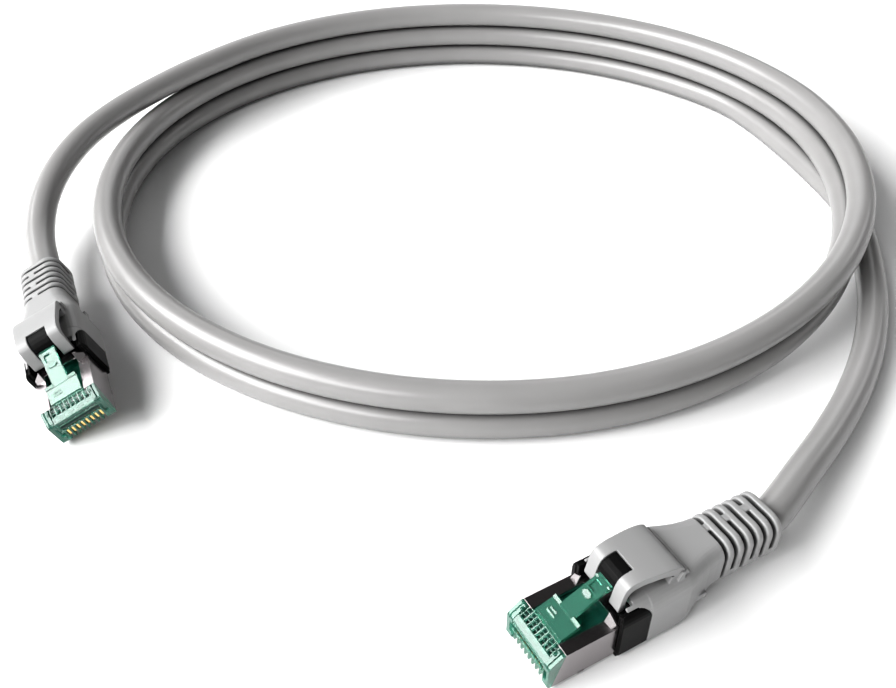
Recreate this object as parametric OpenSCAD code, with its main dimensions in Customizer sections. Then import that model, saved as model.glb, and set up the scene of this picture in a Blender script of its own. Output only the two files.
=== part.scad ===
// Coiled patch cable with a shielded modular plug at each end.
// Units are millimetres. The floor is z = 0 and the cable lies on it in a coil.

/* [Cable] */
// Outer diameter of the cable jacket
cable_d = 6.5; // [6.3:0.05:6.5]
// Height from one turn of the coil to the next
turn_rise = 6.6; // [6.55:0.05:6.7]

/* [Plug] */
// Width over the plug's metal shield
plug_w = 11.68; // [11.6:0.01:11.7]
// Distance from one contact to the next
contact_pitch = 1.02; // [1:0.01:1.03]
// Thickness of one contact blade
blade_t = 0.34; // [0.3:0.01:0.4]
// Thickness of the shield's sheet metal
shield_t = 0.28; // [0.24:0.01:0.3]

/* [Boot] */
// Width of the boot's front body
boot_w = 13.4; // [13.3:0.05:13.5]
// Width of the release lever
lever_w = 9.8; // [9.6:0.05:10]
// Number of slots in the strain relief
slot_count = 6; // [4:1:6]

/* [Hidden] */
$fn = 48;
eps = 0.01;

// Where things lie. The row's origin is under the middle of the two plugs together.
coil_at = [26.84, 91.07, 0];
coil_r = 88.7;
coil_half_w = 6.1;
plug_a = [coil_at + [-76, -86.5, 2.14], 113.5, -22];
plug_b = [coil_at + [4.6, -135, 0], 29.5, 0];

// Heights and lengths inside a plug, along x from its nose and up from its underside
z_low = 0.6;
z_high = 7.4;
z_cable = 5.6;
nose_x = 3;
collar_x = [12.7, 18.3];
shield_end = 21.2;
jacket_x = 21.25;
boot_end = 47.1;
lever_axis = [24.3, 12];
latch_axis = [3.8, 6.9];
root_gap = 0.04;

// Routes of the two loose ends of the cable, from the boot to the coil
exit_a = in_room([boot_end, 0, z_cable], plug_a);
exit_b = in_room([boot_end, 0, z_cable], plug_b);
route_a = concat(
    [exit_a, in_room([boot_end + 5, 0, z_cable], plug_a)],
    [for (p = [
        [-103.2, -28, 8.4], [-105, -17, 10.8], [-104.4, -5, 13], [-101.4, 8, 14.5],
        [-95.6, 21, 15.4], [-87.6, 34, 15.9], [-78.5, 46, 16.3], [-73.5, 52, 16.4]
    ]) coil_at + p]
);
route_b = concat(
    [exit_b, in_room([boot_end + 2, 0, z_cable], plug_b)],
    [for (p = [
        [57, -99.3, 5], [65.4, -88.6, 4], [73.6, -76.7, 3.4], [80.7, -63.8, 3.25],
        [86.3, -50, 3.25], [90.4, -35.5, 3.25], [93.2, -21, 3.25], [93.8, -7, 3.25]
    ]) coil_at + p]
);

// Point p of a plug, turned by its roll and yaw and moved to its place
function in_room(p, pose) =
    let (
        r = pose[2],
        q = [p.x, p.y * cos(r) - p.z * sin(r), p.y * sin(r) + p.z * cos(r)],
        a = pose[1]
    )
    pose[0] + [q.x * cos(a) - q.y * sin(a), q.x * sin(a) + q.y * cos(a), q.z];

function unit(v) = v / norm(v);

// Points of a quarter turn about c, from angle a by 90 degrees
function quarter(c, r, a, n = 6) = [for (i = [0:n]) c + r * [cos(a + 90 * i / n), sin(a + 90 * i / n)]];

// Rectangle from lo to hi whose lower and upper corners have the radii r0 and r1
function soft_box(lo, hi, r0, r1) = concat(
    quarter([hi.x - r0, lo.y + r0], r0, 270),
    quarter([hi.x - r1, hi.y - r1], r1, 0),
    quarter([lo.x + r1, hi.y - r1], r1, 90),
    quarter([lo.x + r0, lo.y + r0], r0, 180)
);

// Direction of the route at its point i
function heading(route, i) =
    unit(route[min(i + 1, len(route) - 1)] - route[max(i - 1, 0)]);

// One ring of a swept tube
function ring(route, i, r, n) =
    let (
        t = i == 0 ? unit(route[1] - route[0]) : heading(route, i),
        side = unit(cross(t, [0, 0, 1])),
        up = cross(side, t)
    )
    [for (k = [0:n - 1]) route[i] + r * (cos(360 * k / n) * side + sin(360 * k / n) * up)];

// Tube of radius r along a route
module tube(route, r, n = 12) {
    m = len(route);
    pts = [for (i = [0:m - 1]) each ring(route, i, r, n)];
    walls = [for (i = [0:m - 2], k = [0:n - 1])
        [i * n + k, i * n + (k + 1) % n, (i + 1) * n + (k + 1) % n, (i + 1) * n + k]];
    first = [for (k = [0:n - 1]) n - 1 - k];
    last = [for (k = [0:n - 1]) (m - 1) * n + k];
    polyhedron(pts, concat([first], walls, [last]), convexity = 6);
}

// Extrudes a side view, drawn as x and height, over the width w
module side_plate(points, w) {
    translate([0, w / 2, 0])
        rotate([90, 0, 0])
            linear_extrude(w)
                polygon(points);
}

// Extrudes a view along the plug, drawn as y and height, from x0 to x1
module along(points, x0, x1) {
    translate([x0, 0, 0])
        rotate([90, 0, 90])
            linear_extrude(x1 - x0)
                polygon(points);
}

// Round bar or bore along the plug
module rod(x0, x1, y, z, r) {
    translate([x0, y, z])
        rotate([0, 90, 0])
            cylinder(h = x1 - x0, r = r);
}

// Round bar or bore across the plug
module cross_rod(at, r, w) {
    translate([at.x, w / 2, at.y])
        rotate([90, 0, 0])
            cylinder(h = w, r = r);
}

module block(lo, hi) {
    translate(lo)
        cube(hi - lo);
}

// Sideways places of the eight contacts
function contact_y(i) = (i - 3.5) * contact_pitch;

// Heights of the eight conductors, which lie in two staggered rows
function wire_z(i) = i % 2 == 0 ? 4.05 : 5.15;

// Clear plug body: comb of contact slots, bores for the conductors, seat for the latch
module housing() {
    inner_w = plug_w - 2 * shield_t - 0.2;
    color([0.25, 0.62, 0.48, 0.5])
        difference() {
            union() {
                side_plate([
                    [0.35, z_low], [0.75, z_low], [2.95, z_high],
                    [0.65, z_high], [0, 6.7], [0, 1.05]
                ], plug_w);
                block([0.7, -inner_w / 2, z_low + shield_t + 0.06],
                    [21, inner_w / 2, z_high - shield_t - 0.06]);
            }
            for (i = [0:7])
                translate([0, contact_y(i), 0]) {
                    block([-1, -0.26, 0], [5.6, 0.26, 3.3]);
                    block([0.95, -0.3, 6.45], [2.3, 0.3, 8]);
                }
            for (i = [0:7]) {
                rod(0.95, 3.8, contact_y(i), wire_z(i), 0.48);
                block([1.5, contact_y(i) - 0.2, 3], [3.5, contact_y(i) + 0.2, wire_z(i)]);
            }
            block([3.65, -4.5, 3.3], [9.4, 4.5, 5.9]);
            block([9.3, -4.6, 2.4], [22, 4.6, 6]);
            block([4.15, -3.5, 6.4], [13.3, 3.5, 8]);
            cross_rod(latch_axis, 0.6 + root_gap, 7);
        }
}

// Clear locking tab: wide shoulders, then a narrow tongue that ends under the lever
module latch() {
    color([0.3, 0.68, 0.52, 0.5])
        union() {
            cross_rod(latch_axis, 0.6, 6.4);
            side_plate([[4.2, 6.6], [7.5, 8.5], [7.5, 9.7], [3.4, 7.4]], 6.4);
            side_plate([
                [7.4, 8.45], [12.9, 10.7], [14.2, 10.8], [14.2, 11.7], [12.8, 11.7], [7.4, 9.65]
            ], 3.3);
        }
}

// Eight gold-plated blades, each in its own slot with two teeth in its conductor
module contacts() {
    color([0.85, 0.66, 0.27])
        for (i = [0:7]) {
            tooth = wire_z(i) - 0.1;
            translate([0, contact_y(i), 0])
                side_plate([
                    [0.7, 1.5], [1.3, 0.85], [3.9, 0.85], [4.5, 1.5], [4.5, 2.7],
                    [3.4, 2.8], [3.2, tooth], [2.8, 2.8], [2.2, 2.8], [1.8, tooth],
                    [1.6, 2.8], [0.7, 2.7]
                ], blade_t);
        }
}

// Organiser that holds the conductors in two rows
module load_bar() {
    color([0.75, 0.86, 0.8])
        difference() {
            block([3.75, -4.42, 3.35], [9.25, 4.42, 5.85]);
            for (i = [0:7])
                rod(3, 10, contact_y(i), wire_z(i), 0.48);
        }
}

// Eight insulated conductors
module wires() {
    color([0.9, 0.55, 0.2])
        for (i = [0:7])
            rod(1.1, jacket_x, contact_y(i), wire_z(i), 0.44);
}

// Sheet-metal shell with a slanted front edge, open under the latch and over the contacts,
// with a bent-up tab at each rear corner of its top
module shield() {
    half = plug_w / 2;
    color([0.62, 0.62, 0.64]) {
        for (s = [-1, 1])
            translate([0, s * 4.75, 0])
                side_plate([
                    [11, z_high - 0.1], [11.3, z_high - 0.1], [12.5, 8.3], [12.3, 8.5], [11, z_high]
                ], 1.5);
        difference() {
            side_plate([
                [0.8, z_low], [shield_end, z_low], [shield_end, z_high], [3, z_high]
            ], plug_w);
            block([0, -half + shield_t, z_low + shield_t],
                [shield_end + 1, half - shield_t, z_high - shield_t]);
            block([0, -3.65, z_high - 1], [12.9, 3.65, z_high + 1]);
            block([0, -4.6, z_low - 1], [6.6, 4.6, z_low + 1]);
        }
    }
}

// Crimped tube behind the shell
module ferrule() {
    color([0.7, 0.7, 0.72])
        difference() {
            rod(jacket_x, 28, 0, z_cable, 4.2);
            rod(jacket_x - 1, 29, 0, z_cable, 3.55);
        }
}

// Cable braid folded back under the ferrule
module braid() {
    color([0.55, 0.53, 0.5])
        difference() {
            rod(jacket_x, 30, 0, z_cable, 3.5);
            rod(jacket_x - 1, 31, 0, z_cable, cable_d / 2 + 0.02);
        }
}

// Cable inside the boot
module jacket_end() {
    color([0.6, 0.6, 0.6])
        rod(jacket_x, boot_end, 0, z_cable, cable_d / 2);
}

// Black collar round the shell: two side lobes, a floor and a bridge under the lever
module collar() {
    lobe = concat(
        quarter([collar_x[1] - 0.8, 0.8], 0.8, 270),
        quarter([collar_x[1] - 2.7, 10 - 2.7], 2.7, 0),
        quarter([collar_x[0] + 0.9, 10 - 0.9], 0.9, 90),
        quarter([collar_x[0] + 0.8, 0.8], 0.8, 180)
    );
    color([0.05, 0.05, 0.05])
        difference() {
            intersection() {
                side_plate(lobe, boot_w);
                along(soft_box([-boot_w / 2, 0], [boot_w / 2, 10.8], 1.2, 2.6), 12, 19);
            }
            block([12, -plug_w / 2 - 0.03, z_low - 0.03],
                [19, plug_w / 2 + 0.03, z_high + 0.03]);
            block([12, -5.3, 7], [15.4, 5.3, 11]);
            block([15, -2.3, 7], [17.8, 2.3, 11]);
            block([15, -5.3, 9.4], [19, 5.3, 11]);
        }
}

// Space of one slot in the strain relief, with bridges left across it
module relief_slot(x, on_top) {
    difference() {
        block([x - 0.42, -8, -2], [x + 0.42, 8, 14]);
        rod(x - 1, x + 1, 0, z_cable, 3.85);
        if (on_top)
            block([x - 1, -1, -3], [x + 1, 1, 15]);
        else
            block([x - 1, -9, z_cable - 1.3], [x + 1, 9, z_cable + 1.3]);
    }
}

// Corners of the boot's cross-section at x, with its upper and lower corners cut away
function section(x, w, z0, z1, top, low) = [
    [x, w - low.x, z0], [x, w, z0 + low.y], [x, w, z1 - top.y], [x, w - top.x, z1],
    [x, top.x - w, z1], [x, -w, z1 - top.y], [x, -w, z0 + low.y], [x, low.x - w, z0]
];

// Solid through a list of cross-sections
module loft(sections) {
    m = len(sections);
    n = len(sections[0]);
    pts = [for (ring = sections) each ring];
    walls = [for (i = [0:m - 2], k = [0:n - 1])
        [i * n + k, (i + 1) * n + k, (i + 1) * n + (k + 1) % n, i * n + (k + 1) % n]];
    first = [for (k = [0:n - 1]) k];
    last = [for (k = [0:n - 1]) m * n - 1 - k];
    polyhedron(pts, concat([first], walls, [last]), convexity = 6);
}

// One half of the hood: reaches forward over the collar, with an arch for its side lobe
module hood(s) {
    half = boot_w / 2;
    difference() {
        intersection() {
            union() {
                block([15.4, s > 0 ? 2.35 : -5.3, 9.45], [18.5, s > 0 ? 5.3 : -2.35, 10.8]);
                block([13.1, s > 0 ? 5.05 : -half, 8], [18.5, s > 0 ? half : -5.05, 10.8]);
            }
            along(soft_box([-half, 0], [half, 10.8], 1.2, 2.9), 13, 20);
        }
        side_plate([
            [13, 10.05], [15.9, 10.1], [17.5, 9.5], [18.36, 8], [18.36, 7], [13, 7]
        ], boot_w + 2);
    }
}

// Grey boot: hood, body, seat for the lever, taper, slotted strain relief and rim
module boot() {
    half = boot_w / 2;
    color([0.66, 0.66, 0.66])
        difference() {
            union() {
                loft([
                    section(18.36, half, 0, 10.8, [2.4, 2.6], [1, 0.8]),
                    section(25.4, half, 0, 11.1, [2.3, 2.6], [1, 0.8]),
                    section(27.4, 6.2, 0.5, 11.1, [2.1, 2.3], [1.2, 1.2]),
                    section(31, 5, 1.4, 10.8, [1.9, 2], [1.5, 1.5]),
                    section(34, 4.65, 1.6, 10.6, [1.8, 1.9], [1.6, 1.6]),
                    section(boot_end - 1.2, 4.6, 1.6, 10.3, [1.9, 2], [1.6, 1.6])
                ]);
                loft([
                    section(boot_end - 1.3, 4.7, 1.6, 10.3, [2.1, 2.2], [1.8, 1.8]),
                    section(boot_end - 0.7, 4.95, 1.4, 10.5, [2.2, 2.3], [1.9, 1.9]),
                    section(boot_end, 4.75, 1.6, 10.3, [2.1, 2.2], [1.8, 1.8])
                ]);
                side_plate([
                    [22.5, 10], [26.6, 10], [26.6, 11.1], [26, 12], [22.9, 12], [22.5, 11.2]
                ], lever_w);
                hood(1);
                hood(-1);
            }
            block([17, -plug_w / 2 - 0.03, z_low - 0.03],
                [shield_end + 0.1, plug_w / 2 + 0.03, z_high + 0.03]);
            rod(shield_end, 28.2, 0, z_cable, 4.25);
            rod(28, 30.2, 0, z_cable, 3.55);
            rod(30, boot_end + 1, 0, z_cable, cable_d / 2 + 0.01);
            cross_rod(lever_axis, 1 + root_gap, boot_w + 4);
            for (i = [0:slot_count - 1])
                relief_slot(35 + 2.1 * i, i % 2 == 0);
        }
}

// Release lever: round root in the boot's seat, arched strap and two prongs
module lever() {
    profile = [
        [25.2, 12.4], [25.1, 13.3], [24.6, 13.9], [22.5, 14.35], [20, 14.75], [17.5, 14.9],
        [15.9, 14.75], [14.7, 14.2], [13.8, 13.1], [13.3, 11.8], [13.1, 9.5],
        [14.3, 9.5], [14.5, 11.2], [15, 12.4], [16, 13.2], [17.5, 13.45], [20, 13.3],
        [22.6, 12.75], [23.6, 12.3], [24.3, 12.2]
    ];
    color([0.7, 0.7, 0.7])
        difference() {
            union() {
                side_plate(profile, lever_w);
                cross_rod(lever_axis, 1, lever_w);
            }
            block([12, -2.1, 8], [17.2, 2.1, 16]);
        }
}

// Black nose under the lever that presses on the end of the latch
module pusher() {
    color([0.06, 0.06, 0.06])
        difference() {
            union() {
                cross_rod([15, 13.1], 1.4, 4.1);
                block([15, -2.05, 12], [17.15, 2.05, 14.2]);
                block([17, -2.05, 12], [18.8, 2.05, 13.5]);
            }
            block([17.14, -3, 13.5], [20, 3, 15]);
        }
}

// Outer shape of the coiled turns: two turns all round and a third over the back
module coil() {
    lo = coil_r - coil_half_w;
    hi = coil_r + coil_half_w;
    low_h = cable_d + turn_rise;
    translate(coil_at)
        color([0.62, 0.62, 0.62]) {
            rotate_extrude($fn = 96)
                polygon(soft_box([lo, 0], [hi, low_h], 3, 3));
            rotate([0, 0, 20])
                rotate_extrude(angle = 126, $fn = 96)
                    polygon(soft_box([lo, low_h - 3.1], [hi, low_h + turn_rise], 0.5, 3));
        }
}

module tail(route) {
    color([0.62, 0.62, 0.62])
        tube(route, cable_d / 2);
}

// Puts a plug's pieces where that plug lies
module placed(pose) {
    translate(pose[0])
        rotate([pose[2], 0, pose[1]])
            children();
}

coil();
tail(route_a);  // tail_a
tail(route_b);  // tail_b

placed(plug_a) housing();  // housing_a
placed(plug_a) latch();  // latch_a
placed(plug_a) contacts();  // contacts_a
placed(plug_a) load_bar();  // load_bar_a
placed(plug_a) wires();  // wires_a
placed(plug_a) shield();  // shield_a
placed(plug_a) ferrule();  // ferrule_a
placed(plug_a) braid();  // braid_a
placed(plug_a) jacket_end();  // jacket_end_a
placed(plug_a) collar();  // collar_a
placed(plug_a) boot();  // boot_a
placed(plug_a) lever();  // lever_a
placed(plug_a) pusher();  // pusher_a

placed(plug_b) housing();  // housing_b
placed(plug_b) latch();  // latch_b
placed(plug_b) contacts();  // contacts_b
placed(plug_b) load_bar();  // load_bar_b
placed(plug_b) wires();  // wires_b
placed(plug_b) shield();  // shield_b
placed(plug_b) ferrule();  // ferrule_b
placed(plug_b) braid();  // braid_b
placed(plug_b) jacket_end();  // jacket_end_b
placed(plug_b) collar();  // collar_b
placed(plug_b) boot();  // boot_b
placed(plug_b) lever();  // lever_b
placed(plug_b) pusher();  // pusher_b
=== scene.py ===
"""Looks for the coiled patch cable: camera, cable, materials, plug pieces, floor and light."""
from math import cos, pi, radians, sin

import bmesh
import bpy
from mathutils import Matrix, Vector


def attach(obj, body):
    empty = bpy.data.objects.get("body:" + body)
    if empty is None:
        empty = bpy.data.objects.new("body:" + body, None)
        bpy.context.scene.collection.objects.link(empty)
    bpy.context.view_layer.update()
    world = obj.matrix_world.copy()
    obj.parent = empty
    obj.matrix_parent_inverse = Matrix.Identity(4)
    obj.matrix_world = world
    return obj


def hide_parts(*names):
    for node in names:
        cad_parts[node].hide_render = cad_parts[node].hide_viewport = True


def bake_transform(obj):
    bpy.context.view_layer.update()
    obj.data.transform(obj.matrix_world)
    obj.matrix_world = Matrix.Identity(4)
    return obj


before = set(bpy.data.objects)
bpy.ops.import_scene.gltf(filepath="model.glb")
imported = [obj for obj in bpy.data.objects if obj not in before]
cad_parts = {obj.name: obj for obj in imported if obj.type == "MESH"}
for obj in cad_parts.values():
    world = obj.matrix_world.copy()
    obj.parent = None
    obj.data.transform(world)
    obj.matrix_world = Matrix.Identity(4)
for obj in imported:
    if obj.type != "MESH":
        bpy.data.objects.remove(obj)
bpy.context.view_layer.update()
scene = bpy.context.scene

# ---------------------------------------------------------------- places, in millimetres
MM = 0.001
COIL = Vector((26.84, 91.07, 0.0))
# Each plug's nose, its turn about the vertical, and its roll about its own length, in degrees
PLUGS = {
    "a": (COIL + Vector((-76.0, -86.5, 2.14)), 113.5, -22.0),
    "b": (COIL + Vector((4.6, -135.0, 0.0)), 29.5, 0.0),
}
CABLE_R = 3.25

# In a plug's own frame x runs from the nose to the boot, and z = 0 is the underside
Z_CABLE = 5.6
BOOT_END = 47.1
BOOT_HALF = 6.7
SHELL_HALF = 5.84
CONTACT_STEP = 1.02
# Flexing roots: x where a piece still moves in full, x where it stands still, and the root's height
LEVER_ROOT = (22.8, 25.2, 12.0)
LATCH_ROOT = (4.6, 3.4, 6.9)


def plug_matrix(side):
    """From a plug's own frame in millimetres to the row frame in metres."""
    at, yaw, roll = PLUGS[side]
    turn = Matrix.Rotation(radians(yaw), 4, "Z") @ Matrix.Rotation(radians(roll), 4, "X")
    return Matrix.Scale(MM, 4) @ Matrix.Translation(at) @ turn


def in_row(side, x, y, z):
    return plug_matrix(side) @ Vector((x, y, z))


# ---------------------------------------------------------------- camera
SENSOR_WIDTH = 36.0
LENS = 38.83
CAMERA_FROM_COIL = Vector((-7.5, -218.0, 135.2))
CAMERA_DOWN = 40.25

cam_data = bpy.data.cameras.new("camera")
cam_data.sensor_width = SENSOR_WIDTH
cam_data.lens = LENS
cam_data.clip_start = 0.01
cam = bpy.data.objects.new("camera", cam_data)
scene.collection.objects.link(cam)
cam.location = (COIL + CAMERA_FROM_COIL) * MM
cam.rotation_euler = (radians(90 - CAMERA_DOWN), 0.0, 0.0)
scene.camera = cam

# ---------------------------------------------------------------- the cable's route
COIL_R = 88.7
COIL_OVAL = 3.2
# Where a turn of the coil wanders in or out: middle and half length in degrees, and by how much
WANDERS = ((100, 60, -1.0), (185, 50, 1.0), (460, 60, -0.5), (548, 40, -0.8))
TOP_TURN_Z = 16.45
TURN_DROP = 6.6
# The cable goes down by one drop in each turn, from this angle on and over this span, in degrees
DROP_FROM = 158
DROP_SPAN = 100
COIL_DEGREES = range(45, 881, 15)
LOOSE_A = [
    (-103.2, -28, 8.4), (-105, -17, 10.8), (-104.4, -5, 13), (-101.4, 8, 14.5),
    (-95.6, 21, 15.4), (-87.6, 34, 15.9), (-78.5, 46, 16.3), (-73.5, 52, 16.4),
]
LOOSE_B = [
    (93.8, -7, 3.25), (93.2, -21, 3.25), (90.4, -35.5, 3.25), (86.3, -50, 3.25),
    (80.7, -63.8, 3.25), (73.6, -76.7, 3.4), (65.4, -88.6, 4), (57, -99.3, 5),
]


def smooth(t):
    t = min(1.0, max(0.0, t))
    return t * t * (3 - 2 * t)


def coil_point(u):
    """Point on the coiled turns after u degrees, clockwise seen from above."""
    a = radians(180 - u)
    r = COIL_R + COIL_OVAL * cos(2 * a)
    for centre, half, amount in WANDERS:
        if abs(u - centre) < half:
            r += amount * cos(pi / 2 * (u - centre) / half) ** 2
    z = TOP_TURN_Z
    for turn in range(2):
        z -= TURN_DROP * smooth((u - DROP_FROM - 360 * turn) / DROP_SPAN)
    return COIL + Vector((r * cos(a), r * sin(a), z))


def curve_through(keys, steps):
    """Points of a centripetal Catmull-Rom curve through the keys."""
    keys = [2 * keys[0] - keys[1]] + keys + [2 * keys[-1] - keys[-2]]
    out = []
    for i in range(1, len(keys) - 2):
        p = keys[i - 1 : i + 3]
        t = [0.0]
        for k in range(3):
            t.append(t[-1] + (p[k + 1] - p[k]).length ** 0.5)
        for s in range(steps):
            v = t[1] + (t[2] - t[1]) * s / steps
            a = [p[k].lerp(p[k + 1], (v - t[k]) / (t[k + 1] - t[k])) for k in range(3)]
            b = [a[k].lerp(a[k + 1], (v - t[k]) / (t[k + 2] - t[k])) for k in range(2)]
            out.append(b[0].lerp(b[1], (v - t[1]) / (t[2] - t[1])))
    out.append(keys[-2])
    return out


def route_keys():
    """Keys of the whole route in millimetres: straight out of plug A, round the coil, into plug B."""
    keys = [in_row("a", BOOT_END + d, 0, Z_CABLE) * 1000 for d in (0, 5)]
    keys += [COIL + Vector(p) for p in LOOSE_A[:-1]]
    keys += [coil_point(u) for u in COIL_DEGREES]
    keys += [COIL + Vector(p) for p in LOOSE_B]
    return keys + [in_row("b", BOOT_END + d, 0, Z_CABLE) * 1000 for d in (2, 0)]


route = [p * MM for p in curve_through(route_keys(), 8)]
cable_curve = bpy.data.curves.new("cable", "CURVE")
cable_curve.dimensions = "3D"
cable_curve.bevel_depth = 1.0
cable_curve.bevel_resolution = 10
cable_curve.use_fill_caps = True
line = cable_curve.splines.new("POLY")
line.points.add(len(route) - 1)
for point, place in zip(line.points, route):
    point.co = (*place, 1.0)
    point.radius = CABLE_R * MM
line.use_smooth = True
cable = bpy.data.objects.new("cable", cable_curve)
scene.collection.objects.link(cable)
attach(cable, "cable")
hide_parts("coil", "tail_a", "tail_b")

# ---------------------------------------------------------------- materials


def shader(name, color, rough, **sockets):
    """A material whose Principled shader has these constants set on its own sockets."""
    mat = bpy.data.materials.new(name)
    mat.use_nodes = True
    tree = mat.node_tree
    bsdf = tree.nodes["Principled BSDF"]
    bsdf.inputs["Base Color"].default_value = (*color, 1.0)
    bsdf.inputs["Roughness"].default_value = rough
    for key, value in sockets.items():
        bsdf.inputs[key.replace("_", " ")].default_value = value
    return mat, tree, bsdf


def noise(tree, scale, detail=3.0, stretch=(1, 1, 1)):
    """A noise texture in object space, in metres, stretched along the axes."""
    coords = tree.nodes.new("ShaderNodeTexCoord")
    mapping = tree.nodes.new("ShaderNodeMapping")
    mapping.inputs["Scale"].default_value = stretch
    tex = tree.nodes.new("ShaderNodeTexNoise")
    tex.inputs["Scale"].default_value = scale
    tex.inputs["Detail"].default_value = detail
    tree.links.new(coords.outputs["Object"], mapping.inputs["Vector"])
    tree.links.new(mapping.outputs["Vector"], tex.inputs["Vector"])
    return tex


def ramp(tree, source, low, high, start=0.3, end=0.7):
    node = tree.nodes.new("ShaderNodeValToRGB")
    first, last = node.color_ramp.elements
    first.position = start
    first.color = (*low, 1.0)
    last.position = end
    last.color = (*high, 1.0)
    tree.links.new(source, node.inputs["Fac"])
    return node.outputs["Color"]


def spread(tree, source, low, high):
    """A value that runs from low to high as the source runs from 0 to 1."""
    span = tree.nodes.new("ShaderNodeMapRange")
    span.inputs["To Min"].default_value = low
    span.inputs["To Max"].default_value = high
    tree.links.new(source, span.inputs["Value"])
    return span.outputs["Result"]


def paint_crease_shade(tree, source, reach, depth):
    """Painted shade: darkens a colour where the surface is shut in within reach, in metres: slots and joints.
    """
    occlusion_shade = tree.nodes.new("ShaderNodeAmbientOcclusion")
    occlusion_shade.samples = 8
    occlusion_shade.inputs["Distance"].default_value = reach
    span = tree.nodes.new("ShaderNodeMapRange")
    span.inputs["From Min"].default_value = 0.25
    span.inputs["From Max"].default_value = 0.75
    span.inputs["To Min"].default_value = 1.0 - depth
    tree.links.new(occlusion_shade.outputs["AO"], span.inputs["Value"])
    product = tree.nodes.new("ShaderNodeVectorMath")
    product.operation = "SCALE"
    tree.links.new(source, product.inputs[0])
    tree.links.new(span.outputs["Result"], product.inputs["Scale"])
    return product.outputs["Vector"]


def surface(
    name, color, rough, vary, rough_vary, grain, depth, blotch=90.0, stretch=(1, 1, 1), crease_shade=None, **sockets
):
    """A shader with colour and roughness that vary, a fine grain, and painted shade in creases (reach,
    depth).
    """
    mat, tree, bsdf = shader(name, color, rough, **sockets)
    low = [c * (1 - vary) for c in color]
    high = [min(1, c * (1 + vary)) for c in color]
    shown = ramp(tree, noise(tree, blotch, 4.0).outputs["Fac"], low, high)
    # Creases get painted shade: the colour is darkened where the surface is shut in
    if crease_shade:
        shown = paint_crease_shade(tree, shown, *crease_shade)
    tree.links.new(shown, bsdf.inputs["Base Color"])
    fine = noise(tree, grain, 3.0, stretch).outputs["Fac"]
    tree.links.new(spread(tree, fine, rough - rough_vary, rough + rough_vary), bsdf.inputs["Roughness"])
    bump = tree.nodes.new("ShaderNodeBump")
    bump.inputs["Strength"].default_value = 0.35
    bump.inputs["Distance"].default_value = depth
    tree.links.new(fine, bump.inputs["Height"])
    tree.links.new(bump.outputs["Normal"], bsdf.inputs["Normal"])
    return mat


def plastic(name, color, rough, vary=0.03, grain=4000.0, depth=0.00002, crease_shade=None, **sockets):
    return surface(name, color, rough, vary, 0.04, grain, depth, crease_shade=crease_shade, **sockets)


def metal(name, color, rough, vary, rough_vary, grain, depth, blotch=90.0, stretch=(1, 1, 1)):
    return surface(name, color, rough, vary, rough_vary, grain, depth, blotch, stretch, Metallic=1.0)


def clear_plastic(name, color, rough, clear):
    """Tinted plastic that lets a share of the light through, with slightly uneven polish."""
    mat, tree, bsdf = shader(name, color, rough, IOR=1.5, Transmission_Weight=clear)
    fine = noise(tree, 900.0, 2.0).outputs["Fac"]
    tree.links.new(spread(tree, fine, rough * 0.8, rough * 1.3), bsdf.inputs["Roughness"])
    return mat


MAT = {
    # The jacket's (0.005, 0.8) paints shade between the turns and where the cable meets the floor
    "jacket": plastic(
        "cable_jacket", (0.21, 0.207, 0.205), 0.3, 0.03, 1500.0, 0.00003, (0.005, 0.8),
        Specular_IOR_Level=0.55,
    ),
    # The boot's (0.0025, 0.9) paints shade into the slots of the strain relief
    "boot": plastic("boot_grey", (0.235, 0.235, 0.235), 0.4, 0.02, 5000.0, 0.00002, (0.0025, 0.9)),
    "black": plastic(
        "black_moulding", (0.003, 0.003, 0.003), 0.3, 0.1, 6000.0, 0.00001, Specular_IOR_Level=0.025
    ),
    "insert": plastic("clear_insert", (0.55, 0.72, 0.64), 0.2),
    "braid": metal("tinned_braid", (0.6, 0.58, 0.55), 0.35, 0.2, 0.1, 3000.0, 0.0001),
    "gold": metal("gold_plate", (0.9, 0.62, 0.22), 0.18, 0.04, 0.05, 5000.0, 0.000005),
    # Two copies of one nickel sheet: the tabs' brighter one is a painted highlight, the shell's darker one
    # painted shade
    "shield_lit_copy": metal("nickel_lit_copy", (0.5, 0.47, 0.475), 0.25, 0.04, 0.05, 2500.0, 0.00001),
    "shield": metal("nickel_shaded_copy", (0.25, 0.23, 0.235), 0.2, 0.05, 0.05, 2500.0, 0.00001, 120.0, (1, 1, 4)),
    "green": clear_plastic("clear_green", (0.10, 0.38, 0.27), 0.07, 0.8),
    "frame": clear_plastic("bright_green", (0.05, 0.28, 0.19), 0.05, 0.75),
    "deep": clear_plastic("deep_green", (0.012, 0.10, 0.07), 0.1, 0.5),
    # Near-opaque dark green for the block behind the nose's windows, a painted shade
    "shade_core": clear_plastic("dark_green_painted_shade", (0.006, 0.035, 0.025), 0.12, 0.1),
}
CAD_MATERIALS = {
    "load_bar": "insert", "contacts": "gold", "wires": "insert", "ferrule": "shield", "braid": "braid",
    "jacket_end": "jacket", "housing": "green", "latch": "green", "shield": "shield",
    "collar": "black", "pusher": "black", "boot": "boot", "lever": "boot",
}
for node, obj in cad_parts.items():
    kind = node.rsplit("_", 1)[0]
    obj.data.materials.clear()
    obj.data.materials.append(MAT[CAD_MATERIALS.get(kind, "jacket")])
cable_curve.materials.append(MAT["jacket"])

# ---------------------------------------------------------------- solids, in a plug's frame and millimetres


def solid(verts, faces):
    mesh = bpy.data.meshes.new("work")
    mesh.from_pydata([tuple(v) for v in verts], [], faces)
    work = bmesh.new()
    work.from_mesh(mesh)
    bmesh.ops.recalc_face_normals(work, faces=work.faces)
    work.to_mesh(mesh)
    work.free()
    obj = bpy.data.objects.new("work", mesh)
    scene.collection.objects.link(obj)
    return obj


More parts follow.
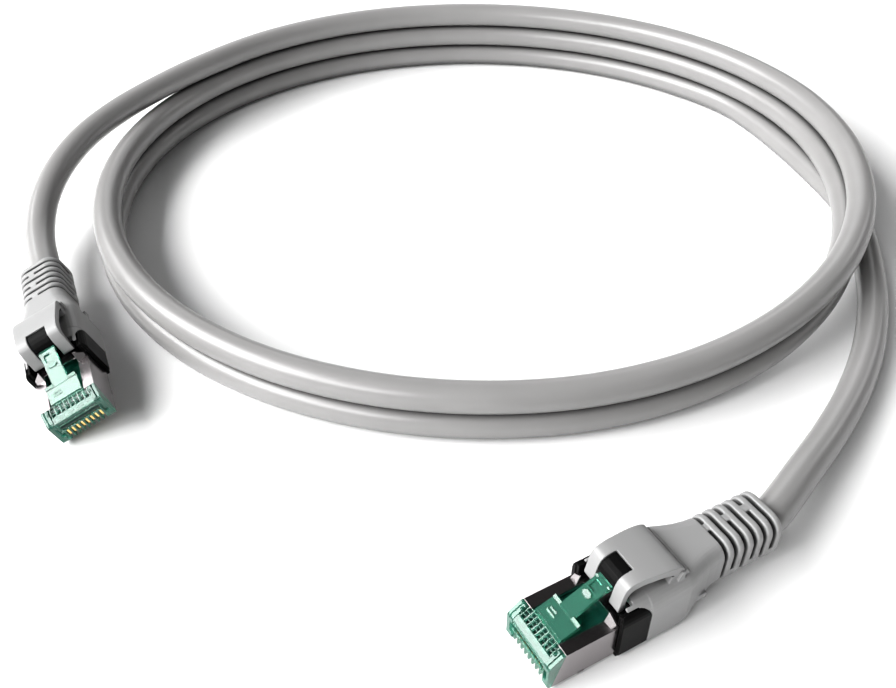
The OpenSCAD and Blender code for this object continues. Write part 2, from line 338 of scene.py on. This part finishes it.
def loft(rings):
    """Closed solid through rings of points, all with the same count."""
    n = len(rings[0])
    verts = [v for ring in rings for v in ring]
    faces = [
        (i * n + k, (i + 1) * n + k, (i + 1) * n + (k + 1) % n, i * n + (k + 1) % n)
        for i in range(len(rings) - 1)
        for k in range(n)
    ]
    faces.append(tuple(range(n)))
    faces.append(tuple(range(len(verts) - n, len(verts))))
    return solid(verts, faces)


def plate(points, lo, hi, axis="y"):
    """Outline extruded along an axis: (x, z) along y, (y, z) along x, or (x, y) along z."""
    put = {
        "y": lambda p, t: (p[0], t, p[1]),
        "x": lambda p, t: (t, p[0], p[1]),
        "z": lambda p, t: (p[0], p[1], t),
    }[axis]
    return loft([[put(p, lo) for p in points], [put(p, hi) for p in points]])


def block(lo, hi):
    corners = [(lo[0], lo[1]), (hi[0], lo[1]), (hi[0], hi[1]), (lo[0], hi[1])]
    return plate(corners, lo[2], hi[2], "z")


def circle(cx, cy, r, n=32):
    return [(cx + r * cos(2 * pi * k / n), cy + r * sin(2 * pi * k / n)) for k in range(n)]


def rod(x0, x1, y, z, r, n=32):
    return plate(circle(y, z, r, n), x0, x1, "x")


def both_sides(near, far):
    """Spans of y on the two sides of a plug, each from its lower end to its upper end."""
    return [(-far, -near), (near, far)]


def section(x, w, z0, z1, top, low):
    """Cross-section at x of half width w, with upper and lower corners of the given radii."""
    half = []
    for centre, r, start in ((z0 + low, low, -90), (z1 - top, top, 0)):
        for k in range(8):
            a = radians(start + 90 * k / 7)
            half.append((w - r + r * cos(a), centre + r * sin(a)))
    return [(x, y, z) for y, z in half] + [(x, -y, z) for y, z in reversed(half)]


def settle(obj):
    """Applies an object's modifiers to its mesh."""
    graph = bpy.context.evaluated_depsgraph_get()
    mesh = bpy.data.meshes.new_from_object(obj.evaluated_get(graph))
    obj.modifiers.clear()
    obj.data = mesh
    return obj


def cut(obj, tools, how="DIFFERENCE"):
    for tool in tools:
        mod = obj.modifiers.new("cut", "BOOLEAN")
        mod.operation = how
        mod.solver = "EXACT"
        mod.object = tool
    settle(obj)
    for tool in tools:
        bpy.data.objects.remove(tool)
    return obj


def join(parts):
    """One object that holds the meshes of all the parts."""
    work = bmesh.new()
    for part in parts:
        work.from_mesh(part.data)
    work.to_mesh(parts[0].data)
    work.free()
    for part in parts[1:]:
        bpy.data.objects.remove(part)
    return parts[0]


def moulded(obj, voxel, passes, keep):
    """Fuses overlapping parts and rounds all their edges, as soft moulded plastic."""
    mod = obj.modifiers.new("fuse", "REMESH")
    mod.mode = "VOXEL"
    mod.voxel_size = voxel
    mod.use_smooth_shade = True
    mod = obj.modifiers.new("round", "SMOOTH")
    mod.factor = 0.5
    mod.iterations = passes
    mod = obj.modifiers.new("thin", "DECIMATE")
    mod.ratio = keep
    return settle(obj)


def crisp(obj, width, segments=2, angle=30):
    """Small round edges on a hard part, with flat faces that stay flat in the shading."""
    mod = obj.modifiers.new("edge", "BEVEL")
    mod.width = width
    mod.segments = segments
    mod.limit_method = "ANGLE"
    mod.angle_limit = radians(angle)
    mod.harden_normals = False
    settle(obj)
    obj.data.shade_smooth()
    mod = obj.modifiers.new("flat", "WEIGHTED_NORMAL")
    mod.weight = 90
    return settle(obj)


def install(obj, name, mat, body, replaced=(), root=None):
    """Puts a copy of a piece on each plug. root is (start x, end x, z) where a piece flexes; a piece with a
    root is only left in the row frame, not attached to a body.
    """
    for side in PLUGS:
        mesh = obj.data.copy()
        mesh.transform(plug_matrix(side))
        mesh.materials.clear()
        mesh.materials.append(MAT[mat])
        piece = bpy.data.objects.new(f"{name}_{side}", mesh)
        scene.collection.objects.link(piece)
        if root:
            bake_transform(piece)
        else:
            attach(piece, body if body == "cable" else f"{body}_{side}")
        if replaced:
            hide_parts(*[f"{node}_{side}" for node in replaced])
    bpy.data.objects.remove(obj)


def contact_y(i):
    return (i - 3.5) * CONTACT_STEP


# ---------------------------------------------------------------- boot
BOOT = [
    section(18.36, BOOT_HALF, 0, 10.8, 2.6, 1.0),
    section(24.6, BOOT_HALF, 0, 11.1, 2.6, 1.0),
    section(26.0, 6.65, 0.1, 11.1, 2.5, 1.2),
    section(27.4, 6.25, 0.5, 11.1, 2.4, 1.5),
    section(29.0, 5.65, 0.95, 11.0, 2.4, 1.8),
    section(31.0, 5.05, 1.4, 10.85, 2.4, 2.1),
    section(33.0, 4.72, 1.62, 10.7, 2.4, 2.2),
    section(34.6, 4.62, 1.65, 10.6, 2.4, 2.2),
]
HUMP = [(22.5, 10), (26.6, 10), (26.6, 11.1), (26, 12), (22.9, 12), (22.5, 11.2)]
HUMP_LUG = [(24.0, 10.8), (25.4, 10.8), (25.3, 12.4), (24.6, 12.5)]
STRAP_HALF = 4.9
WINDOW_HALF = 2.1
# The collar's lobe is a quarter circle about this x and z at its upper rear, and the boot's arch clears it
LOBE_AT = (15.6, 7.3)
LOBE_R = 2.7
ARCH_R = 2.76
# Ribs of the strain relief, with slots between them that webs close in part
RIBS = 6
RIB_STEP = 2.1
RIB_WIDTH = 1.26
FIRST_RIB = 35.42
FIRST_SLOT = 34.98
WEB_HALF = 0.5


def lobe_arc(r, first):
    angles = [radians(d) for d in range(first, 91, 10)]
    return [(LOBE_AT[0] + r * cos(a), LOBE_AT[1] + r * sin(a)) for a in angles]


ARCH = [(12, 6), (18.36, 6), (18.36, 7.3)] + lobe_arc(ARCH_R, 10) + [(12, 10.06)]


def body_outline(top=10.8, corner=2.8):
    """Rounded outline of the boot's front body, (y, z)."""
    pts = [(BOOT_HALF - 1.0, 0), (BOOT_HALF - 0.3, 0.3), (BOOT_HALF, 1.0)]
    for d in range(0, 91, 15):
        a = radians(d)
        pts.append((BOOT_HALF - corner + corner * cos(a), top - corner + corner * sin(a)))
    return pts + [(-y, z) for y, z in reversed(pts)]


def build_rib(i):
    """A rib with rounded flanks; the last one is a thicker ring at the boot's end."""
    last = i == RIBS - 1
    x0 = FIRST_RIB + RIB_STEP * i
    x1 = BOOT_END if last else x0 + RIB_WIDTH
    low, top, half, corner = (1.6, 10.3, 4.78, 2.9) if last else (1.65, 10.5 - 0.042 * i, 4.62, 2.45)
    rings = []
    for k in range(7):
        t = k / 6
        swell = 0.2 * max(0.0, 1 - (2 * t - 1) ** 4) ** 0.5 - 0.08
        rings.append(section(x0 + (x1 - x0) * t, half + swell, low - swell, top + swell, corner, corner))
    return loft(rings)


def build_webs(i):
    """Webs that join the ribs across slot i: above and below, or on both sides, by turns."""
    x0 = FIRST_SLOT + RIB_STEP * i - WEB_HALF
    x1 = FIRST_SLOT + RIB_STEP * i + WEB_HALF
    if i % 2 == 0:
        return [block((x0, 0.3, 8.6), (x1, 1.7, 10.42)), block((x0, -1.7, 1.75), (x1, -0.3, 2.9))]
    return [block((x0, y0, 2.9), (x1, y1, 4.4)) for y0, y1 in both_sides(3.2, 4.6)]


def build_boot():
    parts = [loft(BOOT), plate(HUMP, -STRAP_HALF, STRAP_HALF)]
    fronts = [
        cut(block((14.0, y0, 7.5), (18.5, y1, 10.8)), [plate(ARCH, -9, 9)])
        for y0, y1 in both_sides(5.05, BOOT_HALF)
    ]
    fronts += [block((15.45, y0, 9.45), (18.5, y1, 10.8)) for y0, y1 in both_sides(2.35, 5.3)]
    parts += [cut(piece, [plate(body_outline(), 12, 20, "x")], "INTERSECT") for piece in fronts]
    parts += [plate(HUMP_LUG, y0, y1) for y0, y1 in both_sides(4.6, 5.3)]
    parts += [block((28.6, y0, 2.6), (30.9, y1, 3.9)) for y0, y1 in both_sides(4.7, 5.8)]
    parts.append(rod(34, 46.5, 0, Z_CABLE, 3.3, 48))
    for i in range(RIBS):
        parts.append(build_rib(i))
        parts += build_webs(i)
    return moulded(join(parts), 0.11, 2, 0.6)


install(build_boot(), "boot_shell", "boot", "cable", ["boot"])

# ---------------------------------------------------------------- release lever and its pusher
STRAP = [
    (25.3, 11.3), (25.3, 12.3), (25.0, 13.0), (24.3, 13.55), (22.6, 14.05), (20.5, 14.35),
    (18.5, 14.55), (17.0, 14.62), (15.9, 14.55), (15.0, 14.3), (14.35, 13.75), (13.95, 12.9),
    (13.7, 11.8), (13.5, 10.6), (13.3, 9.05), (14.35, 9.0), (14.55, 10.6), (14.75, 11.7),
    (15.15, 12.5), (15.9, 13.0), (17.0, 13.2), (18.6, 13.2), (20.1, 13.1), (21.5, 12.88),
    (22.6, 12.5), (23.3, 12.1), (23.3, 11.2),
]
PUSHER = [
    (17.15, 12), (17.15, 14.3), (16.4, 14.3), (15.5, 14.1), (14.7, 13.65), (14.1, 13.0),
    (13.75, 12.3), (14.0, 11.8), (14.7, 11.7), (15.6, 11.75), (16.4, 12),
]


def build_strap():
    """Arch with a window; its two legs get narrower towards the front."""
    outline = [(p.x, p.y) for p in curve_through([Vector((x, z, 0)) for x, z in STRAP], 5)]
    strap = plate(outline, -STRAP_HALF, STRAP_HALF)
    cut(strap, [block((10, -WINDOW_HALF, 8), (17.2, WINDOW_HALF, 16))])
    moulded(strap, 0.1, 4, 0.8)
    for vertex in strap.data.vertices:
        narrowing = 0.18 * (1 - smooth((vertex.co.x - 14) / 9))
        leg = vertex.co.y - max(-WINDOW_HALF, min(WINDOW_HALF, vertex.co.y))
        vertex.co.y -= narrowing * leg
    return strap


def build_pusher():
    parts = [plate(PUSHER, -2.02, 2.02), block((16.8, -2, 12.1), (18.8, 2, 13.5))]
    return moulded(join(parts), 0.1, 3, 0.6)


install(build_strap(), "lever_strap", "boot", "lever_body", ["lever"], LEVER_ROOT)
install(build_pusher(), "lever_pusher", "black", "lever_body", ["pusher"])

# ---------------------------------------------------------------- collar
LOBE = [(12.7, 0.9), (13.5, 0), (17.5, 0), (18.3, 0.8)] + lobe_arc(LOBE_R, 0)
LOBE += [(13.6, 10), (13.0, 9.7), (12.7, 9.1)]


def build_collar():
    parts = []
    for y0, y1 in both_sides(5.88, BOOT_HALF):
        outer = plate(body_outline(10.6, 2.4), 12, 19, "x")
        parts.append(cut(plate(LOBE, y0, y1), [outer], "INTERSECT"))
    parts += [block((12.9, y0, 7.46), (17.2, y1, 9.6)) for y0, y1 in both_sides(5.2, 6.2)]
    parts += [block((15.4, y0, 7.46), (18.3, y1, 9.38)) for y0, y1 in both_sides(2.35, 5.4)]
    parts.append(block((12.7, -6.2, 0), (18.3, 6.2, 0.56)))
    parts.append(block((17.8, -2.6, 7.46), (18.3, 2.6, 9.38)))
    return moulded(join(parts), 0.1, 4, 0.6)


install(build_collar(), "collar_shell", "black", "cable", ["collar"])

# ---------------------------------------------------------------- metal shell


def build_shield():
    """Sheet round the plug, open on top over the latch and below at the contacts."""
    shell = plate([(0.8, 0.6), (21.2, 0.6), (21.2, 7.4), (3.0, 7.4)], -SHELL_HALF, SHELL_HALF)
    cut(shell, [
        block((0, -5.56, 0.88), (22, 5.56, 7.12)),
        block((0, -3.65, 6.4), (12.9, 3.65, 8.4)),
        block((0, -4.6, -0.4), (6.6, 4.6, 1.6)),
    ])
    bumps = [block((5.6, y0, 0.45), (6.9, y1, 0.8)) for y0, y1 in both_sides(5.3, 5.9)]
    return crisp(join([shell] + bumps), 0.07)


def build_tabs():
    """Two corners of the shield's top, bent up in front of the collar."""
    tabs = []
    for s in (-1, 1):
        face = [(11.3, 3.75, 7.3), (11.3, 5.4, 7.3), (12.3, 5.5, 7.9), (12.1, 3.8, 9.3)]
        tabs.append(loft([[(x + thick, s * y, z) for x, y, z in face] for thick in (0, 0.28)]))
    return crisp(join(tabs), 0.05)


install(build_shield(), "plug_shell", "shield", "cable", ["shield"])
# The tabs take the brighter nickel copy, a painted highlight
install(build_tabs(), "shield_tabs", "shield_lit_copy", "cable")

# ---------------------------------------------------------------- clear plug body and latch
CHEEK = [(0.35, 0.6), (0.75, 0.6), (2.95, 7.4), (2.45, 7.4), (0.35, 6.05), (0, 5.5), (0, 1.05)]
FRONT_BAR = [(0.1, 5.25), (0.1, 5.7), (1.15, 6.38), (1.4, 6.38), (1.4, 5.25)]
BAR_HALF = 4.4
# Round bars across the nose, three over the windows and two on its front: x, z and radius
CROSS_BARS = [
    (1.85, 6.66, 0.08), (2.45, 6.96, 0.08), (3.1, 7.26, 0.12), (0.2, 4.75, 0.12), (0.15, 3.35, 0.16),
]
# Outline of the dark block behind the windows, which paints shade there
SHADE_CORE = [(0.75, 3.3), (3.3, 3.3), (3.3, 6.7), (1.45, 5.9), (1.45, 5.2), (0.75, 5.2)]


def build_nose():
    """Cheeks with sloping tops, the bar across the front, and the comb between the contacts."""
    tools = [block((-1, -4.35, 0), (4, 4.35, 8))]
    tools += [block((-1, y0, 5.3), (4, y1, 8)) for y0, y1 in both_sides(5.05, 5.25)]
    tools += [block((-1, y0, 2.2), (0.5, y1, 4.6)) for y0, y1 in ((-5.25, -4.5), (4.25, 5.0))]
    parts = [cut(plate(CHEEK, -SHELL_HALF, SHELL_HALF), tools)]
    parts += [block((1.6, y0, 5.4), (4.1, y1, 7.3)) for y0, y1 in both_sides(4.3, 4.75)]
    parts.append(plate(FRONT_BAR, -BAR_HALF, BAR_HALF))
    for i in range(9):
        y = contact_y(i - 0.5)
        parts.append(block((0.35, y - 0.2, 0.6), (1.3, y + 0.2, 3.1)))
        parts.append(block((1.2, y - 0.2, 0.62), (5.6, y + 0.2, 1.2)))
    for part in parts:
        crisp(part, 0.06)
    return join(parts)


def build_ladder():
    """Thin bars over the ends of the conductors, and two across the front."""
    parts = []
    for i in range(9):
        y = contact_y(i - 0.5)
        parts.append(plate([(1.3, 5.9), (1.3, 6.4), (3.2, 7.36), (3.3, 6.9)], y - 0.075, y + 0.075))
    for x, z, r in CROSS_BARS:
        parts.append(plate(circle(x, z, r, 16), -BAR_HALF, BAR_HALF))
    for part in parts:
        part.data.shade_smooth()
        part.data.set_sharp_from_angle(angle=radians(40))
    return join(parts)


def build_body():
    """The body behind the nose, open where the latch moves and where the conductors run."""
    body = block((3.3, -5.45, 0.94), (21, 5.45, 7.06))
    tools = [block((3.0, y - 0.27, 0), (5.6, y + 0.27, 3.3)) for y in map(contact_y, range(8))]
    tools += [
        block((3.65, -4.5, 3.3), (9.4, 4.5, 5.9)),
        block((9.3, -4.6, 2.4), (22, 4.6, 6)),
        block((4.15, -3.5, 6.4), (13.3, 3.5, 8)),
        plate(circle(3.8, 6.9, 0.64), -3.5, 3.5),
    ]
    return crisp(cut(body, tools), 0.07, 2, 40)


def build_shade_core():
    """Dark inside of the nose, behind its windows: a dark block as painted shade."""
    shade_core = plate(SHADE_CORE, -4.3, 4.3)
    grooves = [block((1.5, y - 0.16, 4), (2.6, y + 0.16, 8)) for y in map(contact_y, range(8))]
    return crisp(cut(shade_core, grooves), 0.05, 1, 40)


install(build_nose(), "plug_nose", "frame", "cable", ["housing"])
install(build_ladder(), "plug_ladder", "green", "cable")
install(build_body(), "plug_body", "deep", "cable")
install(build_shade_core(), "plug_shade_core", "shade_core", "cable")

LATCH_PLATE = [(3.3, 7.0), (4.1, 6.6), (4.6, 6.75), (7.1, 7.7), (7.1, 8.62), (3.6, 7.45)]
LATCH_TONGUE = [(6.6, 7.7), (12.9, 10.7), (14.2, 10.8), (14.2, 11.7), (13.6, 11.7), (6.6, 8.55)]
TONGUE_RECESS = [(11.5, 10.35), (13.0, 11.0), (13.0, 12), (11.5, 12)]
# Six-sided boss on the tongue: across the tongue and along it
BOSS = [(-1.0, 0.0), (-0.55, -0.45), (0.55, -0.45), (1.0, 0.0), (0.55, 0.45), (-0.55, 0.45)]


def lip(x, z, y0, y1, size):
    """Small ridge across the latch with a sloping front face."""
    back = x + 1.4 * size
    outline = [(x, z - 0.4), (back, z - 0.4), (back, z + size), (x + 1.2 * size, z + size)]
    return plate(outline + [(x, z + 0.2 * size)], y0, y1)


def build_latch():
    """Wide plate with corner lugs, and a tongue with a boss, a recess and two end lugs."""
    body = cut(plate(LATCH_PLATE, -3.3, 3.3), [plate(LATCH_TONGUE, -1.6, 1.6)], "UNION")
    cut(body, [plate(TONGUE_RECESS, -0.3, 1.0)])
    parts = [lip(6.6, 8.5, y0, y1, 0.42) for y0, y1 in both_sides(1.5, 3.3)]
    parts += [lip(4.7, 7.85, 0.3, 2.2, 0.2), lip(5.3, 8.05, 0.6, 2.1, 0.2)]
    foot = [(10.4 + along, across, 10.1 + 0.45 * along) for across, along in BOSS]
    face = [(10.45 + along, across, 10.62 + 0.66 * along) for across, along in BOSS]
    parts.append(loft([foot, face]))
    parts += [lip(13.2, 11.5, y0, y1, 0.22) for y0, y1 in both_sides(1.1, 1.75)]
    return crisp(join([body] + [crisp(part, 0.05) for part in parts]), 0.1)


install(build_latch(), "plug_latch", "green", "latch_body", ["latch"], LATCH_ROOT)

# ---------------------------------------------------------------- floor
FLOOR_SIZE = 60
FLOOR_WHITE = (0.86, 0.86, 0.86)
# The floor starts to glow at the first distance from its middle, and does so in full at the second
GLOW = (0.35, 1.6)

bpy.ops.mesh.primitive_plane_add(size=FLOOR_SIZE, location=(0, 0, -0.0001))
floor = bpy.context.object
floor.name = "floor"
floor_mat, floor_tree, floor_bsdf = shader("floor_white", FLOOR_WHITE, 0.6, Emission_Strength=0.95)
floor_place = floor_tree.nodes.new("ShaderNodeTexCoord")
distance = floor_tree.nodes.new("ShaderNodeVectorMath")
distance.operation = "LENGTH"
glow = floor_tree.nodes.new("ShaderNodeMapRange")
glow.interpolation_type = "SMOOTHSTEP"
glow.inputs["From Min"].default_value = GLOW[0]
glow.inputs["From Max"].default_value = GLOW[1]
floor_tree.links.new(floor_place.outputs["Object"], distance.inputs[0])
floor_tree.links.new(distance.outputs["Value"], glow.inputs["Value"])
floor_tree.links.new(glow.outputs["Result"], floor_bsdf.inputs["Emission Color"])
floor.data.materials.append(floor_mat)

# ---------------------------------------------------------------- world: pale horizon, darker overhead
# The sky goes from pale to dark towards this direction
DARK_SIDE = (0.5, 0.1, 0.85)
SKY_PALE = (0.85, 0.85, 0.85)
SKY_DARK = (0.10, 0.10, 0.10)
HORIZON_WHITE = (2.0, 2.0, 2.0, 1.0)
# Height of a direction above the horizon where the white band ends and where it is full
HORIZON_BAND = (0.14, 0.10)

world = bpy.data.worlds.new("studio")
scene.world = world
world.use_nodes = True
world_tree = world.node_tree
background = world_tree.nodes["Background"]
background.inputs["Strength"].default_value = 0.5
where = world_tree.nodes.new("ShaderNodeTexCoord")
slant = world_tree.nodes.new("ShaderNodeVectorMath")
slant.operation = "DOT_PRODUCT"
slant.inputs[1].default_value = DARK_SIDE
world_tree.links.new(where.outputs["Generated"], slant.inputs[0])
shade = ramp(world_tree, slant.outputs["Value"], SKY_PALE, SKY_DARK, 0.1, 0.75)
height = world_tree.nodes.new("ShaderNodeSeparateXYZ")
band = world_tree.nodes.new("ShaderNodeMapRange")
band.inputs["From Min"].default_value = HORIZON_BAND[0]
band.inputs["From Max"].default_value = HORIZON_BAND[1]
world_tree.links.new(where.outputs["Generated"], height.inputs["Vector"])
world_tree.links.new(height.outputs["Z"], band.inputs["Value"])
# The inputs of a colour mix are 0 factor, 6 first and 7 second colour; its output is 2
sky = world_tree.nodes.new("ShaderNodeMix")
sky.data_type = "RGBA"
sky.inputs[7].default_value = HORIZON_WHITE
world_tree.links.new(band.outputs["Result"], sky.inputs[0])
world_tree.links.new(shade, sky.inputs[6])
world_tree.links.new(sky.outputs[2], background.inputs["Color"])

# ---------------------------------------------------------------- softboxes
LIT_SPOT = Vector((0.02, 0.05, 0.0))
# Place in metres, size in metres, and power in watts
SOFTBOXES = {
    "key": ((-1.41, -0.22, 1.12), (1.5, 1.1), 78.0),
    "left": ((-1.42, 0.8, 0.78), (0.75, 0.4), 5.0),
    "front": ((-0.95, -1.13, 0.95), (1.0, 0.6), 22.0),
    "back": ((0.1, 1.9, 1.1), (1.6, 0.5), 6.0),
    "side": ((1.6, 1.0, 0.9), (0.4, 0.4), 2.0),
}
for name, (at, size, power) in SOFTBOXES.items():
    lamp = bpy.data.lights.new(name, "AREA")
    lamp.shape = "RECTANGLE"
    lamp.size, lamp.size_y = size
    lamp.energy = power
    softbox = bpy.data.objects.new(name, lamp)
    scene.collection.objects.link(softbox)
    softbox.location = at
    softbox.rotation_euler = (LIT_SPOT - Vector(at)).to_track_quat("-Z", "Y").to_euler()
scene.view_settings.view_transform = "Standard"

bpy.context.view_layer.update()
